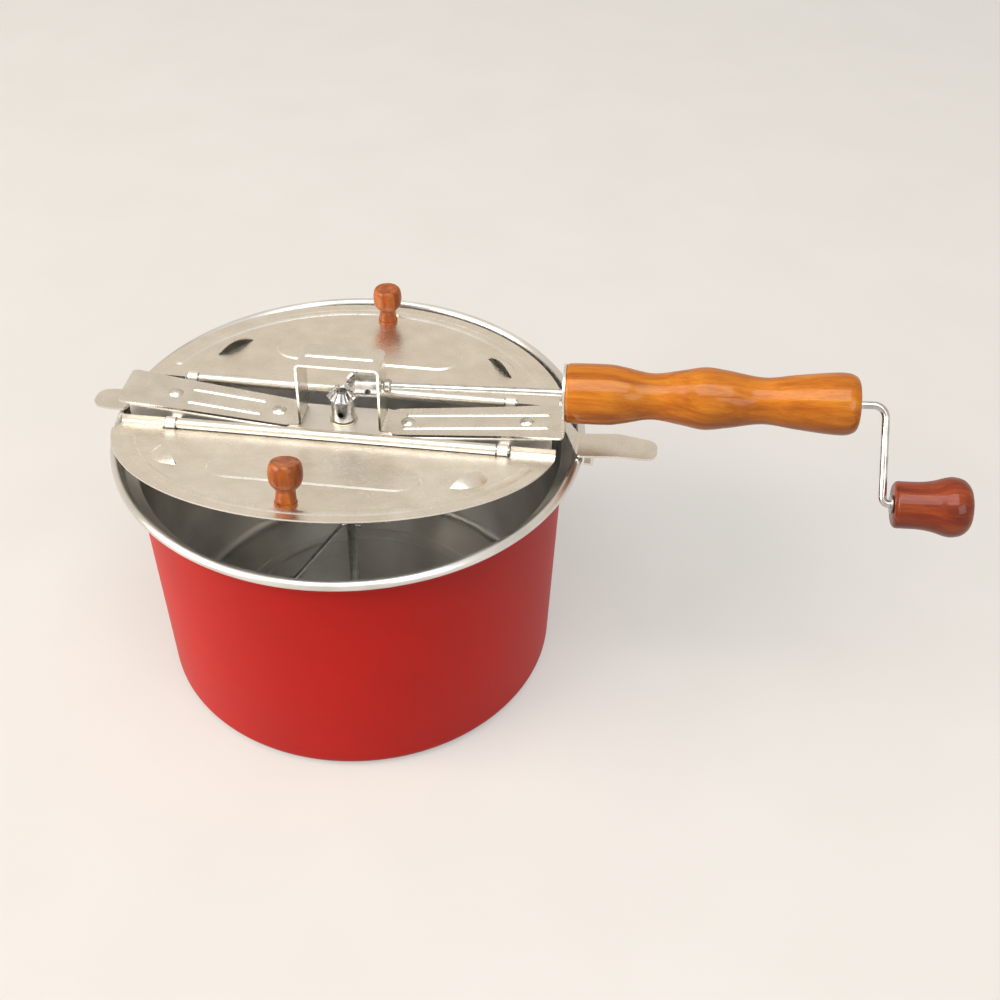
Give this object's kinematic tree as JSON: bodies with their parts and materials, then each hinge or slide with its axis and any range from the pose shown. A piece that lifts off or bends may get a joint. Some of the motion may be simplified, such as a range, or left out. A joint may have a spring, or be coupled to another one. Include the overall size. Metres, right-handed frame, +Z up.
{
  "type": "stovetop popcorn popper",
  "caption": "Deep round pan with a hinged two-leaf lid, a wooden side handle and a hand crank that turns a stirrer through bevel gears.",
  "frame": {"origin": "centre of the pan's base, on the surface it stands on", "axes": "+X along the handle, away from the pan; +Z up; +Y to the left of someone who faces along the handle away from the pan"},
  "size_m": [0.4419, 0.2412, 0.1962],
  "materials": {
    "red_paint": "satin enamel outside, bare metal inside and on the rim",
    "tin_sheet": "bright plated sheet",
    "lid_sheet": "bright rolled sheet",
    "rivet_metal": "drawn, domed",
    "brass_bush": "turned",
    "bright_wire": "bright drawn wire",
    "gear_metal": "cast and plated",
    "plated_steel": "plated",
    "dark_screw": "oiled steel",
    "amber_wood": "amber varnish",
    "knob_wood": "red-brown varnish",
    "grip_wood": "dark red-brown varnish"
  },
  "bodies": {
    "pan": {"pan_body": "red_paint"},
    "lid_frame": {"cross_bar": "tin_sheet", "gear_bracket": "tin_sheet", "bracket_rivets": "rivet_metal", "clip_rivets": "rivet_metal", "shaft_bush": "brass_bush", "front_hinge_wire": "bright_wire", "rear_hinge_wire": "bright_wire", "wood_handle": "amber_wood", "handle_screws": "plated_steel"},
    "front_lid": {"front_lid_leaf": "lid_sheet", "front_lid_knob": "knob_wood", "front_knob_screw": "plated_steel"},
    "rear_lid": {"rear_lid_leaf": "lid_sheet", "rear_lid_knob": "knob_wood", "rear_knob_screw": "plated_steel"},
    "crank": {"crank_rod": "bright_wire", "crank_gear": "gear_metal", "crank_gear_screw": "dark_screw", "rod_collar": "plated_steel", "grip_washer": "plated_steel"},
    "grip": {"crank_grip": "grip_wood"},
    "stirrer": {"stirrer_shaft": "bright_wire", "stirrer_gear": "gear_metal", "stirrer_gear_screw": "dark_screw", "shaft_keeper": "plated_steel", "sweep_wire": "bright_wire", "brace_wire": "bright_wire"},
    "handle_clip": {"handle_side_clip": "tin_sheet"},
    "far_clip": {"far_side_clip": "tin_sheet"}
  },
  "joints": [
    {"name": "lid_lift", "type": "slide", "parent": "pan", "child": "lid_frame", "axis": [0, 0, 1], "range_m": [0, 0.17]},
    {"name": "front_lid_hinge", "type": "hinge", "parent": "lid_frame", "child": "front_lid", "pos_m": [-0.0035, -0.02, 0.1508], "axis": [-1, 0, 0], "range_deg": [-18, 64]},
    {"name": "rear_lid_hinge", "type": "hinge", "parent": "lid_frame", "child": "rear_lid", "pos_m": [-0.0035, 0.02, 0.1508], "axis": [1, 0, 0], "range_deg": [0, 83]},
    {"name": "crank_turn", "type": "hinge", "parent": "lid_frame", "child": "crank", "pos_m": [-0.0035, 0, 0.1688], "axis": [0.9988, 0, 0.0494], "continuous": true},
    {"name": "stirrer_turn", "type": "hinge", "parent": "lid_frame", "child": "stirrer", "pos_m": [-0.0035, 0, 0.1688], "axis": [0, 0, 1], "continuous": true},
    {"name": "grip_spin", "type": "hinge", "parent": "crank", "child": "grip", "pos_m": [0.27052, -0.03122, 0.14677], "axis": [0.9988, 0, 0.0494], "continuous": true},
    {"name": "handle_clip_swing", "type": "hinge", "parent": "lid_frame", "child": "handle_clip", "pos_m": [0.0905, 0, 0.15509], "axis": [0.1063, 0, -0.9943], "range_deg": [0, 11]},
    {"name": "far_clip_swing", "type": "hinge", "parent": "lid_frame", "child": "far_clip", "pos_m": [-0.0905, 0, 0.15494], "axis": [-0.1063, 0, -0.9943], "range_deg": [0, 11]}
  ],
  "couplings": [
    {"joint": "stirrer_turn", "follows": "crank_turn", "ratio": 1}
  ]
}
